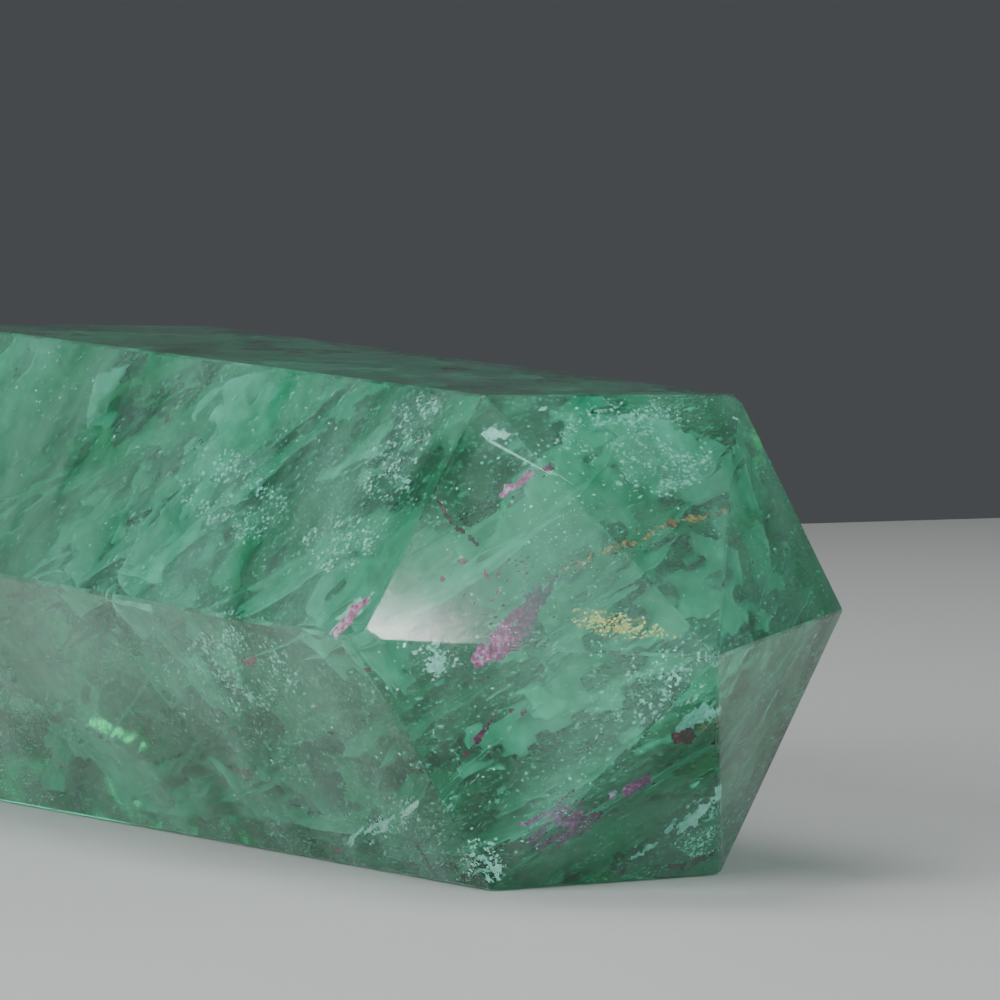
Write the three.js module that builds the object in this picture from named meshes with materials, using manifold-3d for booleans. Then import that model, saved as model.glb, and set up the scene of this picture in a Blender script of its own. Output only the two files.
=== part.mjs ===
// A fluorite point: a six-sided tower of green fluorite, sawn and polished by hand.
// It lies on one of its long faces, with its point towards +X and its sawn base towards -X.
// The whole stone is one convex solid, kept between its flat polished faces.
// Millimetres, +Z up. Stations are measured along X from the girdle, where the point begins.
import * as THREE from 'three';
import { mergeVertices } from 'three/addons/utils/BufferGeometryUtils.js';
import Module from 'manifold-3d';

const wasm = await Module();
wasm.setup();

// Driving dimensions
const ACROSS_FLATS = 36;
const BASE_STATION = -90;
const AXIS_HEIGHT = ACROSS_FLATS / 2;
const AXIS_FALL_DEG = 1.5;

// The six long faces. Turn is the direction that a face looks in, round the axis from +Y.
// Reach is its distance from the axis at the girdle, and flare is how much the face opens
// towards the base. The face under the stone is level, because the stone rests on it.
const LONG_FACES = {
  top: { turn: 89.3, reach: 17.97, flare: 3.0 },
  upperFar: { turn: 30.2, reach: 18.8, flare: 2.3 },
  lowerFar: { turn: -29.5, reach: 17.5, flare: 1.2 },
  under: { turn: -90, reach: AXIS_HEIGHT, flare: 0 },
  lowerNear: { turn: -150.3, reach: 17.9, flare: 0.8 },
  upperNear: { turn: 149.8, reach: 18.4, flare: 3.0 },
};

// Stations where the girdle crosses the six long edges, each edge named by its two faces, and
// how deep each corner is rubbed off.
const GIRDLE_CORNERS = [
  { faces: ['top', 'upperFar'], station: 0.1, rub: 0.34 },
  { faces: ['upperFar', 'lowerFar'], station: -0.1, rub: 0.1 },
  { faces: ['lowerFar', 'under'], station: -0.25, rub: 0.16 },
  { faces: ['under', 'lowerNear'], station: 0.25, rub: 0.1 },
  { faces: ['lowerNear', 'upperNear'], station: -0.2, rub: 0 },
  { faces: ['upperNear', 'top'], station: 0.2, rub: 0.12 },
];

// The tip stands a little off the axis, as the stone was ground by hand.
const TIP = new THREE.Vector3(16.6, -1.1, 17.65);
const TIP_RUB = 0.12;
const CORNER_RUB_LEAN = 0.5;

// A narrow extra facet, ground at the near corner of the girdle. It cuts the near long edge at
// its station.
const CORNER_FACET = { turn: -156.8, tilt: 23.3, station: -2 };

// Widths of the narrow flats polished along the edges
const LONG_EDGE_FLAT = 0.34;
const POINT_EDGE_FLAT = 0.26;
const BASE_EDGE_FLAT = 1.1;

// A block that is much larger than the stone; one of its sides is set on each cut
const BLOCK = 400;

const radians = THREE.MathUtils.degToRad;

// A cut through a point, given by the direction it looks in: turned round the axis from +Y
// and tilted towards the point of the stone.
function cutAt(point, turnDeg, tiltDeg) {
  const turn = radians(turnDeg);
  const tilt = radians(tiltDeg);
  const across = Math.cos(tilt);
  const normal = new THREE.Vector3(Math.sin(tilt), across * Math.cos(turn), across * Math.sin(turn));
  return new THREE.Plane().setFromNormalAndCoplanarPoint(normal, point);
}

// The cut of a long face, at its reach from the axis where the girdle is.
function longCut({ turn, reach, flare }) {
  const centre = new THREE.Vector3(0, 0, AXIS_HEIGHT);
  const cut = cutAt(centre, turn, flare);
  cut.constant -= reach;
  return cut;
}

// The point where three cuts meet.
function meet(a, b, c) {
  const ab = new THREE.Vector3().crossVectors(a.normal, b.normal);
  const bc = new THREE.Vector3().crossVectors(b.normal, c.normal);
  const ca = new THREE.Vector3().crossVectors(c.normal, a.normal);
  const volume = a.normal.dot(bc);
  return new THREE.Vector3()
    .addScaledVector(bc, -a.constant)
    .addScaledVector(ca, -b.constant)
    .addScaledVector(ab, -c.constant)
    .divideScalar(volume);
}

// A cut that rubs off a corner of the girdle, looking straight out from the axis and half way
// towards the point.
function cornerRub(corner, depth) {
  const out = new THREE.Vector3(0, corner.y, corner.z - AXIS_HEIGHT).normalize();
  const normal = out.add(new THREE.Vector3(CORNER_RUB_LEAN, 0, 0)).normalize();
  const cut = new THREE.Plane().setFromNormalAndCoplanarPoint(normal, corner);
  cut.constant += depth;
  return cut;
}

// The cut square to X at a station.
function stationCut(station) {
  return new THREE.Plane(new THREE.Vector3(1, 0, 0), -station);
}

// A facet of the point, through the tip and two places on the girdle.
function pointCut(from, to) {
  const cut = new THREE.Plane().setFromCoplanarPoints(TIP, from, to);
  return cut.normal.x < 0 ? cut.negate() : cut;
}

// The narrow flat of a given width between two cuts that meet in an edge.
function edgeCut(a, b, width) {
  const normal = a.normal.clone().add(b.normal);
  const length = normal.length();
  const edgeReach = -(a.constant + b.constant) / length;
  const depth = (width / 2) * Math.tan(a.normal.angleTo(b.normal) / 2);
  return new THREE.Plane(normal.divideScalar(length), depth - edgeReach);
}

// The block behind a cut, as a closed solid.
function solidBehind(cut) {
  const geometry = new THREE.BoxGeometry(BLOCK, BLOCK, BLOCK);
  geometry.deleteAttribute('normal');
  geometry.deleteAttribute('uv');
  geometry.translate(0, 0, -BLOCK / 2);
  const turn = new THREE.Quaternion().setFromUnitVectors(new THREE.Vector3(0, 0, 1), cut.normal);
  geometry.applyQuaternion(turn);
  const foot = cut.normal.clone().multiplyScalar(-cut.constant);
  geometry.translate(foot.x, foot.y, foot.z);
  const merged = mergeVertices(geometry, 1e-4);
  return new wasm.Manifold(new wasm.Mesh({
    numProp: 3,
    vertProperties: new Float32Array(merged.attributes.position.array),
    triVerts: new Uint32Array(merged.index.array),
  }));
}

// The solid that every cut leaves, as a geometry with flat faces.
function stoneBetween(cuts) {
  const solid = cuts.map(solidBehind).reduce((stone, block) => stone.intersect(block));
  const mesh = solid.getMesh();
  const geometry = new THREE.BufferGeometry();
  geometry.setAttribute('position', new THREE.BufferAttribute(mesh.vertProperties, 3));
  geometry.setIndex(new THREE.BufferAttribute(mesh.triVerts, 1));
  return geometry;
}

// The long faces, the base and the facets of the point
const long = {};
for (const [name, face] of Object.entries(LONG_FACES)) {
  long[name] = longCut(face);
}
const baseFoot = new THREE.Vector3(BASE_STATION, 0, 0);
const base = cutAt(baseFoot, 90, AXIS_FALL_DEG - 90);

const corners = GIRDLE_CORNERS.map(({ faces, station }) => {
  const [first, second] = faces;
  return meet(long[first], long[second], stationCut(station));
});
const [topFar, far, underFar, underNear, near, topNear] = corners;
const nearEdgeEnd = meet(long.lowerNear, long.upperNear, stationCut(CORNER_FACET.station));
const cornerFacet = cutAt(nearEdgeEnd, CORNER_FACET.turn, CORNER_FACET.tilt);
const point = {
  top: pointCut(topNear, topFar),
  upperFar: pointCut(topFar, far),
  lowerFar: pointCut(far, underFar),
  under: pointCut(underFar, underNear),
  lowerNear: pointCut(underNear, near),
  upperNear: pointCut(near, topNear),
};
const tipRub = cutAt(TIP, 90, 90);
tipRub.constant += TIP_RUB;
const cornerRubs = corners
  .map((corner, i) => cornerRub(corner, GIRDLE_CORNERS[i].rub))
  .filter((cut, i) => GIRDLE_CORNERS[i].rub > 0);

// The narrow flats along every edge
const order = Object.keys(LONG_FACES);
const edgeFlats = [];
order.forEach((name, i) => {
  const next = order[(i + 1) % order.length];
  edgeFlats.push(edgeCut(long[name], long[next], LONG_EDGE_FLAT));
  edgeFlats.push(edgeCut(long[name], point[name], POINT_EDGE_FLAT));
  edgeFlats.push(edgeCut(point[name], point[next], POINT_EDGE_FLAT));
  edgeFlats.push(edgeCut(long[name], base, BASE_EDGE_FLAT));
});
for (const neighbour of [long.lowerNear, long.upperNear, point.lowerNear, point.upperNear]) {
  edgeFlats.push(edgeCut(cornerFacet, neighbour, POINT_EDGE_FLAT));
}

const stone = stoneBetween([
  ...Object.values(long),
  ...Object.values(point),
  base,
  cornerFacet,
  tipRub,
  ...cornerRubs,
  ...edgeFlats,
]);

// The origin is under the middle of the stone
stone.computeBoundingBox();
const middle = stone.boundingBox.getCenter(new THREE.Vector3());
stone.translate(-middle.x, -middle.y, -stone.boundingBox.min.z);
stone.computeVertexNormals();

const fluorite = new THREE.MeshStandardMaterial({ color: 0x4f9a80, roughness: 0.08, metalness: 0 });
const body = new THREE.Mesh(stone, fluorite);
body.name = 'fluorite_point';

const group = new THREE.Group();
group.name = 'fluorite_tower';
group.add(body);

export default group;
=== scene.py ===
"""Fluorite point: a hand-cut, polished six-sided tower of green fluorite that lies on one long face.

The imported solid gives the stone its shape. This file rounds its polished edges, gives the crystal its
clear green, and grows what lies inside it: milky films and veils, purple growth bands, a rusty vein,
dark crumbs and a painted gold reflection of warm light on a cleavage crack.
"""

import logging
import math
import random
from dataclasses import dataclass, field
from enum import Enum

import bmesh
import bpy
import numpy as np
from mathutils import Matrix, Vector, noise
from mathutils.bvhtree import BVHTree


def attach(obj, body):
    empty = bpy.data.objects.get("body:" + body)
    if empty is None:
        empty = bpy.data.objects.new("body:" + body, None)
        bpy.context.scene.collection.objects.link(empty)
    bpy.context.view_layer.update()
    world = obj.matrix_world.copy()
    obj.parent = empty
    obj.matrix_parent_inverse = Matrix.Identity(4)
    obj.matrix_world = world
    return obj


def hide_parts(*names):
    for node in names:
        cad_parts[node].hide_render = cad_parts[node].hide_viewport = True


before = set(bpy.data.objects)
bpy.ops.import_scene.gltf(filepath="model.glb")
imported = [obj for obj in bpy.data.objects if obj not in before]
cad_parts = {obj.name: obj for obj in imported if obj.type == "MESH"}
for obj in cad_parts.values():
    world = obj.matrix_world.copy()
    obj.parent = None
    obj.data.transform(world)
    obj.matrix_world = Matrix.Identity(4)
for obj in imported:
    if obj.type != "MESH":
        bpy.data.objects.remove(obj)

LOG = logging.getLogger("fluorite_point")
MM = 0.001
STONE_NODE = "fluorite_point"
STONE_BODY = "root"
FLUORITE_IOR = 1.434
# What lies inside is so like the crystal round it that its own surface bends light only a little.
INCLUSION_IOR = 1.1
NOISE_ROUGHNESS = 0.6
# The attribute that says where a film or a crumb lies in the colour run of its finish
TONE = "tone"
# Keeps a division by a length of nothing in bounds
TINY = 1e-9

Pixel = tuple[float, float]
Point = tuple[float, float, float]
Colour = tuple[float, float, float, float]


def linear(hex_colour: str) -> Colour:
    """Turns an sRGB hex colour into the linear colour that a shader reads.

    Args:
        hex_colour: Six hex digits, with or without a leading hash.

    Returns:
        Red, green, blue and an alpha of one, in linear light.
    """
    digits = hex_colour.lstrip("#")
    parts = [int(digits[i:i + 2], 16) / 255 for i in (0, 2, 4)]
    red, green, blue = (p / 12.92 if p <= 0.04045 else ((p + 0.055) / 1.055) ** 2.4 for p in parts)
    return red, green, blue, 1.0


def add_node(tree: bpy.types.NodeTree, kind: str, inputs: dict | None = None,
             **settings: object) -> bpy.types.Node:
    """Adds a node, sets its settings, and sets or links its inputs.

    Args:
        tree: The node tree that gets the node.
        kind: Blender's name for the kind of node.
        inputs: Values or output sockets, by the name or the number of the input.
        **settings: The node's own properties.

    Returns:
        The new node.
    """
    node = tree.nodes.new(kind)
    for name, value in settings.items():
        setattr(node, name, value)
    for key, value in (inputs or {}).items():
        if isinstance(value, bpy.types.NodeSocket):
            tree.links.new(value, node.inputs[key])
        else:
            node.inputs[key].default_value = value
    return node


def new_material(name: str) -> tuple[bpy.types.Material, bpy.types.NodeTree, bpy.types.Node]:
    """Makes an empty node material.

    Args:
        name: The material's name.

    Returns:
        The material, its node tree and its output node.
    """
    material = bpy.data.materials.new(name)
    material.use_nodes = True
    tree = material.node_tree
    tree.nodes.clear()
    return material, tree, add_node(tree, "ShaderNodeOutputMaterial")


def set_stops(ramp: bpy.types.ColorRamp, stops: list[tuple[float, Colour]]) -> None:
    """Gives a new colour run its stops.

    Args:
        ramp: The colour run.
        stops: Place and colour of each stop, from left to right.
    """
    while len(ramp.elements) > 1:
        ramp.elements.remove(ramp.elements[-1])
    ramp.elements[0].position, ramp.elements[0].color = stops[0]
    for place, colour in stops[1:]:
        ramp.elements.new(place).color = colour


def put_in_scene(name: str, data: bpy.types.ID) -> bpy.types.Object:
    """Makes an object and links it to the scene.

    Args:
        name: The object's name.
        data: Its mesh, lamp or camera.

    Returns:
        The object.
    """
    thing = bpy.data.objects.new(name, data)
    bpy.context.scene.collection.objects.link(thing)
    return thing


def inclusion(name: str, mesh: bpy.types.Mesh) -> bpy.types.Object:
    """Makes a piece of the stone that lies inside it and rides on it.

    Args:
        name: The piece's name.
        mesh: The piece's mesh, already dressed.

    Returns:
        The finished piece.
    """
    piece = put_in_scene(name, mesh)
    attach(piece, STONE_BODY)
    return piece


def merge_in(work: bmesh.types.BMesh, part: bmesh.types.BMesh) -> None:
    """Adds one mesh under work to another.

    Args:
        work: The mesh that grows.
        part: The mesh that goes into it, which is used up.
    """
    mesh = bpy.data.meshes.new("part")
    part.to_mesh(mesh)
    part.free()
    work.from_mesh(mesh)
    bpy.data.meshes.remove(mesh)


def soften(sheet: bmesh.types.BMesh) -> None:
    """Takes the steps out of a sheet that is laid in square cells."""
    bmesh.ops.smooth_vert(sheet, verts=sheet.verts, factor=0.5, use_axis_x=True, use_axis_y=True,
                          use_axis_z=True)


class Cleavage(Enum):
    """The directions in which the crystal cracked: the way its planes look, and their grain."""

    FLAT = ((-0.088, -0.647, 0.757), (0.75, 0.45, 0.48))
    STEEP = ((0.80, -0.45, 0.40), (0.3, 0.8, 0.5))

    @property
    def normal(self) -> Vector:
        """Gives the way that its planes look."""
        return Vector(self.value[0])

    @property
    def grain(self) -> Vector:
        """Gives the way that its grain runs."""
        return Vector(self.value[1])


@dataclass(frozen=True)
class PolishedFluorite:
    """Natural green fluorite, sawn, ground flat and polished by hand."""

    # To the eye it is clear and glassy, and shines less hard than quartz, because it bends light less.
    # It is nearly colourless where it is thin and deep green through its thickness, and milky in
    # cloudy patches. Real polishing scratches are far finer: they are drawn half a millimetre apart,
    # so that they soften a reflection in this render.
    name: str = "polished_green_fluorite"
    body: str = "bff0e4"
    milk: str = "9ddccb"
    through: str = "28f0e4"
    through_density: float = 120.0
    clearest: float = 0.98
    milkiest: float = 0.87
    cloud_mm: float = 9.0
    cloud_turn: Point = (0.5, 0.6, 0.9)
    cloud_stretch: Point = (1.0, 1.0, 0.4)
    cloud_roughness: float = 0.66
    clearing: tuple[float, float] = (0.36, 0.72)
    tinting: tuple[float, float] = (0.40, 0.70)
    scratch_mm: float = 0.5
    scratch_turn: Point = (0.3, 0.9, 0.4)
    scratch_stretch: Point = (1.0, 10.0, 1.0)
    scratched: tuple[float, float] = (0.35, 0.75)
    roughness: tuple[float, float] = (0.05, 0.12)
    bump_strength: float = 0.03
    bump_mm: float = 0.05

    def material(self) -> bpy.types.Material:
        """Builds the material.

        Returns:
            The material.
        """
        material, tree, output = new_material(self.name)
        place = add_node(tree, "ShaderNodeTexCoord").outputs["Object"]
        cloud_place = add_node(tree, "ShaderNodeMapping", {
            "Vector": place, "Rotation": self.cloud_turn, "Scale": self.cloud_stretch})
        clouds = add_node(tree, "ShaderNodeTexNoise", {
            "Vector": cloud_place.outputs["Vector"], "Scale": 1.0 / (self.cloud_mm * MM), "Detail": 3.0,
            "Roughness": self.cloud_roughness}).outputs["Fac"]
        clear = add_node(tree, "ShaderNodeMapRange", {
            "Value": clouds, "From Min": self.clearing[0], "From Max": self.clearing[1],
            "To Min": self.clearest, "To Max": self.milkiest})
        colour = add_node(tree, "ShaderNodeValToRGB", {"Fac": clouds})
        set_stops(colour.color_ramp, list(zip(self.tinting, (linear(self.body), linear(self.milk)))))
        scratch_place = add_node(tree, "ShaderNodeMapping", {
            "Vector": place, "Rotation": self.scratch_turn, "Scale": self.scratch_stretch})
        scratches = add_node(tree, "ShaderNodeTexNoise", {
            "Vector": scratch_place.outputs["Vector"], "Scale": 1.0 / (self.scratch_mm * MM),
            "Detail": 1.0, "Roughness": NOISE_ROUGHNESS}).outputs["Fac"]
        rough = add_node(tree, "ShaderNodeMapRange", {
            "Value": scratches, "From Min": self.scratched[0], "From Max": self.scratched[1],
            "To Min": self.roughness[0], "To Max": self.roughness[1]})
        bump = add_node(tree, "ShaderNodeBump", {
            "Height": scratches, "Strength": self.bump_strength, "Distance": self.bump_mm * MM})
        shader = add_node(tree, "ShaderNodeBsdfPrincipled", {
            "Base Color": colour.outputs["Color"], "Roughness": rough.outputs["Result"],
            "Transmission Weight": clear.outputs["Result"], "IOR": FLUORITE_IOR,
            "Normal": bump.outputs["Normal"]})
        depth = add_node(tree, "ShaderNodeVolumeAbsorption", {
            "Color": linear(self.through), "Density": self.through_density})
        tree.links.new(shader.outputs["BSDF"], output.inputs["Surface"])
        tree.links.new(depth.outputs["Volume"], output.inputs["Volume"])
        return material


@dataclass(frozen=True)
class InclusionFinish:
    """A mineral grain or film that lies inside the stone, with the colour run of its kind."""

    name: str
    tones: tuple[tuple[float, str], ...]
    grain_mm: float = 0.5
    grain_share: float = 0.45
    grain_range: tuple[float, float] = (0.3, 0.7)
    roughness: float = 0.55
    let_through: float = 0.0

    def material(self) -> bpy.types.Material:
        """Builds the material: the piece's own tone, broken up by a fine grain.

        Returns:
            The material.
        """
        material, tree, output = new_material(self.name)
        place = add_node(tree, "ShaderNodeTexCoord").outputs["Object"]
        tone = add_node(tree, "ShaderNodeAttribute", attribute_name=TONE).outputs["Fac"]
        grain = add_node(tree, "ShaderNodeTexNoise", {
            "Vector": place, "Scale": 1.0 / (self.grain_mm * MM), "Detail": 1.0,
            "Roughness": NOISE_ROUGHNESS})
        spread = add_node(tree, "ShaderNodeMapRange", {
            "Value": grain.outputs["Fac"], "From Min": self.grain_range[0],
            "From Max": self.grain_range[1], "To Min": -self.grain_share, "To Max": self.grain_share})
        broken = add_node(tree, "ShaderNodeMath", {0: tone, 1: spread.outputs["Result"]},
                          operation="ADD", use_clamp=True)
        run = add_node(tree, "ShaderNodeValToRGB", {"Fac": broken.outputs[0]})
        set_stops(run.color_ramp, [(at, linear(colour)) for at, colour in self.tones])
        shader = add_node(tree, "ShaderNodeBsdfPrincipled", {
            "Base Color": run.outputs["Color"], "Roughness": self.roughness, "IOR": INCLUSION_IOR,
            "Transmission Weight": self.let_through})
        tree.links.new(shader.outputs["BSDF"], output.inputs["Surface"])
        return material


# Purple fluorite that grew as a band: pink where it is thin, magenta to wine where it is thick
PURPLE_FLUORITE = InclusionFinish("purple_growth_band", (
    (0.0, "ffb4d0"), (0.3, "f85498"), (0.6, "bc1060"), (1.0, "50042c")), grain_mm=0.35, grain_share=0.28)
# Fluorite full of tiny pores that hold fluid: dull and milky, from pale green to white
MILK_FLUORITE = InclusionFinish("milky_fluid_veil", (
    (0.0, "8fc8bc"), (0.5, "c4e2da"), (1.0, "f2f7f2")), grain_mm=0.4, let_through=0.25)
# A speck of cleavage face: its near-white colour is a painted glint, and its low roughness gives some real
# shine as well
PAINTED_GLINT_FLUORITE = InclusionFinish("cleavage_speck_painted_glint", (
    (0.0, "e8fff6"), (0.5, "f6fffb"), (1.0, "ffffff")), grain_mm=0.5, roughness=0.2)
# A healed crack: a soft green haze without shine, half see-through
FILM_FLUORITE = InclusionFinish("milky_healed_film", (
    (0.0, "56b898"), (0.5, "84cdb4"), (1.0, "bfe9da")), grain_mm=1.6, grain_share=0.3, roughness=0.9,
    let_through=0.45)
# Iron oxide that crept along a crack: a matt stain, from pale orange to rust brown
RUST_STAIN = InclusionFinish("iron_oxide_stain", (
    (0.0, "f0b47c"), (0.5, "b86a34"), (1.0, "5e2410")), grain_mm=0.4)
# A crumb of manganese mineral: matt, from dull red to nearly black
DARK_MINERAL = InclusionFinish("dark_manganese_crumb", (
    (0.0, "a0464a"), (0.5, "5c1820"), (1.0, "1f0a0e")), grain_mm=0.3)
# A cleavage crack with a painted reflection: its orange to pale gold colour stands in for warm light that
# the crack mirrors, broken into fine painted glints
PAINTED_GOLD_REFLECTION_FINISH = InclusionFinish("gold_reflection_painted_finish", (
    (0.0, "ff8418"), (0.5, "ffa830"), (1.0, "ffe08a")), grain_mm=0.2, roughness=0.3)


@dataclass(frozen=True)
class PhotographView:
    """The camera as it stood for the photograph, worked out from the stone's corners and edges."""

    place: Point = (0.375356, -0.207538, 0.044294)
    azimuth_deg: float = 59.627
    elevation_deg: float = 2.311
    roll_deg: float = -0.116
    focal_pixels: float = 5396.77
    frame_pixels: float = 1000.0
    sensor_mm: float = 36.0
    clip_start_m: float = 0.01

    def axes(self) -> tuple[Vector, Vector, Vector]:
        """Works out which way the camera is turned.

        Returns:
            The camera's right, up and back directions.
        """
        angles = (self.azimuth_deg, self.elevation_deg, self.roll_deg)
        azimuth, elevation, roll = (math.radians(angle) for angle in angles)
        back = Vector((math.sin(azimuth) * math.cos(elevation), -math.cos(azimuth) * math.cos(elevation),
                       math.sin(elevation)))
        flat = Vector((math.cos(azimuth), math.sin(azimuth), 0.0))
        upright = back.cross(flat)
        right = flat * math.cos(roll) + upright * math.sin(roll)
        up = upright * math.cos(roll) - flat * math.sin(roll)
        return right, up, back

    def ray(self, pixel: Pixel) -> Vector:
        """Gives the unit direction of the sight line through a pixel.

        Args:
            pixel: Column and row in the photograph.

        Returns:
            The direction from the camera.
        """
        right, up, back = self.axes()
        half = self.frame_pixels / 2
        way = right * (pixel[0] - half) + up * (half - pixel[1]) - back * self.focal_pixels
        return way.normalized()

    def build(self) -> bpy.types.Object:
        """Makes the camera and gives it to the scene.

        Returns:
            The camera.
        """
        data = bpy.data.cameras.new("photograph_view")
        data.sensor_width = self.sensor_mm
        data.lens = self.focal_pixels / self.frame_pixels * self.sensor_mm
        data.clip_start = self.clip_start_m
        camera = put_in_scene("photograph_view", data)
        right, up, back = self.axes()
        turn = Matrix((right, up, back)).transposed().to_4x4()
        camera.matrix_world = Matrix.Translation(self.place) @ turn
        bpy.context.scene.camera = camera
        return camera


@dataclass
class PolishedStone:
    """The stone itself, with the soft edges that polishing leaves."""

    name: str = "polished_stone"
    same_point_m: float = 1e-6
    flat_deg: float = 0.5
    edge_deg: float = 5.0
    edge_round_mm: float = 0.08
    edge_steps: int = 3
    finish: PolishedFluorite = field(default_factory=PolishedFluorite)

    def build(self) -> bpy.types.Object:
        """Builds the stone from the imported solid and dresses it.

        Returns:
            The finished piece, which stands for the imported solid.
        """
        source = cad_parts[STONE_NODE]
        mesh = bpy.data.meshes.new(self.name)
        work = bmesh.new()
        work.from_mesh(source.data)
        bmesh.ops.remove_doubles(work, verts=work.verts, dist=self.same_point_m)
        bmesh.ops.dissolve_limit(work, angle_limit=math.radians(self.flat_deg), verts=work.verts,
                                 edges=work.edges)
        bmesh.ops.recalc_face_normals(work, faces=work.faces)
        work.to_mesh(mesh)
        work.free()
        stone = put_in_scene(self.name, mesh)
        mesh.materials.clear()
        mesh.materials.append(self.finish.material())
        bevel = stone.modifiers.new("soft_edges", "BEVEL")
        bevel.width = self.edge_round_mm * MM
        bevel.segments = self.edge_steps
        bevel.limit_method = "ANGLE"
        bevel.angle_limit = math.radians(self.edge_deg)
        bevel.harden_normals = True
        graph = bpy.context.evaluated_depsgraph_get()
        baked = bpy.data.meshes.new_from_object(stone.evaluated_get(graph))
        stone.modifiers.clear()
        stone.data = baked
        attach(stone, STONE_BODY)
        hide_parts(STONE_NODE)
        return stone


class SightGauge:
    """Follows a sight line of the photograph through the polished face to a depth in the stone."""

    MIDDLE = (0.0, 0.0, 0.018)
    SAME_WAY = 0.9999
    LEAST_FACE_M2 = 1e-9
    GRAZING = 0.02
    FIRST_STEP_M = 1e-5
    LEAST_DEPTH_M = 0.0002
    EDGE_ROOM_M = 0.002

    def __init__(self, view: PhotographView, stone: bpy.types.Object) -> None:
        """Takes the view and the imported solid.

        Args:
            view: The camera of the photograph.
            stone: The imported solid, with its place in its mesh.
        """
        self.view = view
        self.eye = Vector(view.place)
        work = bmesh.new()
        work.from_mesh(stone.data)
        self.tree = BVHTree.FromBMesh(work)
        self.faces: list[tuple[Vector, Vector]] = []
        for face in work.faces:
            new = all(face.normal.dot(kept) < self.SAME_WAY for _, kept in self.faces)
            if new and face.calc_area() > self.LEAST_FACE_M2:
                self.faces.append((face.calc_center_median(), face.normal.copy()))
        work.free()

    def enter(self, pixel: Pixel) -> tuple[Vector, Vector]:
        """Finds where a sight line meets the stone and how it bends there.

        Args:
            pixel: Column and row in the photograph.

        Returns:
            The point on the face and the unit direction inside the stone.
        """
        way = self.view.ray(pixel)
        hit, normal, _, _ = self.tree.ray_cast(self.eye, way)
        if hit is None:
            beside = self.eye + way * (Vector(self.MIDDLE) - self.eye).length
            hit, normal, _, _ = self.tree.find_nearest(beside)
        facing = -way.dot(normal)
        if facing < self.GRAZING:
            return hit, -normal
        ratio = 1.0 / FLUORITE_IOR
        sunk = math.sqrt(max(0.0, 1.0 - ratio * ratio * (1.0 - facing * facing)))
        return hit, (way * ratio + normal * (ratio * facing - sunk)).normalized()

    def point(self, pixel: Pixel, depth_mm: float, margin_mm: float = 0.45) -> Vector:
        """Gives the point that shows at a pixel and lies at a depth below the face.

        Args:
            pixel: Column and row in the photograph.
            depth_mm: Distance along the bent sight line, in millimetres.
            margin_mm: Distance that it keeps from the far side of the stone.

        Returns:
            The point in the stone.
        """
        hit, way = self.enter(pixel)
        out, _, _, length = self.tree.ray_cast(hit + way * self.FIRST_STEP_M, way)
        room = (length if out is not None else self.EDGE_ROOM_M) - margin_mm * MM
        return hit + way * max(self.LEAST_DEPTH_M, min(depth_mm * MM, room))


@dataclass(frozen=True)
class Patch:
    """One marking: its outline in the photograph, its depth in the stone and its tone."""

    outline: tuple[Pixel, ...]
    depth_mm: float = 1.2
    dip_mm: float = 0.0
    tone: tuple[float, float] = (0.5, 0.5)
    holes: float = 0.0
    ragged_px: float = 4.0
    grain_deg: float = 45.0

    def box(self) -> tuple[float, float, float, float]:
        """Gives the outline's least and greatest column and row."""
        columns, rows = zip(*self.outline)
        return min(columns), max(columns), min(rows), max(rows)

    def inside(self, x: float, y: float) -> float:
        """Measures how far inside the outline a pixel is, in pixels; it is negative outside.

        Args:
            x: Column.
            y: Row.

        Returns:
            The signed distance to the outline.
        """
        within, least = False, math.inf
        for (ax, ay), (bx, by) in zip(self.outline, self.outline[1:] + self.outline[:1]):
            if (ay > y) != (by > y) and x < (bx - ax) * (y - ay) / (by - ay) + ax:
                within = not within
            dx, dy = bx - ax, by - ay
            t = max(0.0, min(1.0, ((x - ax) * dx + (y - ay) * dy) / max(TINY, dx * dx + dy * dy)))
            least = min(least, math.hypot(x - ax - dx * t, y - ay - dy * t))
        return least if within else -least


def streak(*path: tuple[float, float, float], **settings: object) -> Patch:
    """Makes a patch that follows a path, as a growth band or a vein does.

    Args:
        *path: Column, row and width of each point along its middle, in pixels.
        **settings: The patch's other values.

    Returns:
        The patch.
    """
    left, right = [], []
    for i, (x, y, width) in enumerate(path):
        ax, ay, _ = path[max(0, i - 1)]
        bx, by, _ = path[min(len(path) - 1, i + 1)]
        length = max(TINY, math.hypot(bx - ax, by - ay))
        nx, ny = -(by - ay) / length, (bx - ax) / length
        left.append((x + nx * width / 2, y + ny * width / 2))
        right.append((x - nx * width / 2, y - ny * width / 2))
    return Patch(outline=tuple(left + right[::-1]), **settings)


def ring(x: float, y: float, wide: float, high: float, turn_deg: float = 0.0, points: int = 14,
         **settings: object) -> Patch:
    """Makes an oval patch.

    Args:
        x: Column of its middle.
        y: Row of its middle.
        wide: Its length, in pixels.
        high: Its height, in pixels.
        turn_deg: How far its long side rises to the right.
        points: How many points its outline has.
        **settings: The patch's other values.

    Returns:
        The patch.
    """
    turn = math.radians(turn_deg)
    outline = []
    for i in range(points):
        a = math.tau * i / points
        u, v = math.cos(a) * wide / 2, math.sin(a) * high / 2
        outline.append((x + u * math.cos(turn) - v * math.sin(turn),
                        y - u * math.sin(turn) - v * math.cos(turn)))
    return Patch(outline=tuple(outline), **settings)


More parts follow.
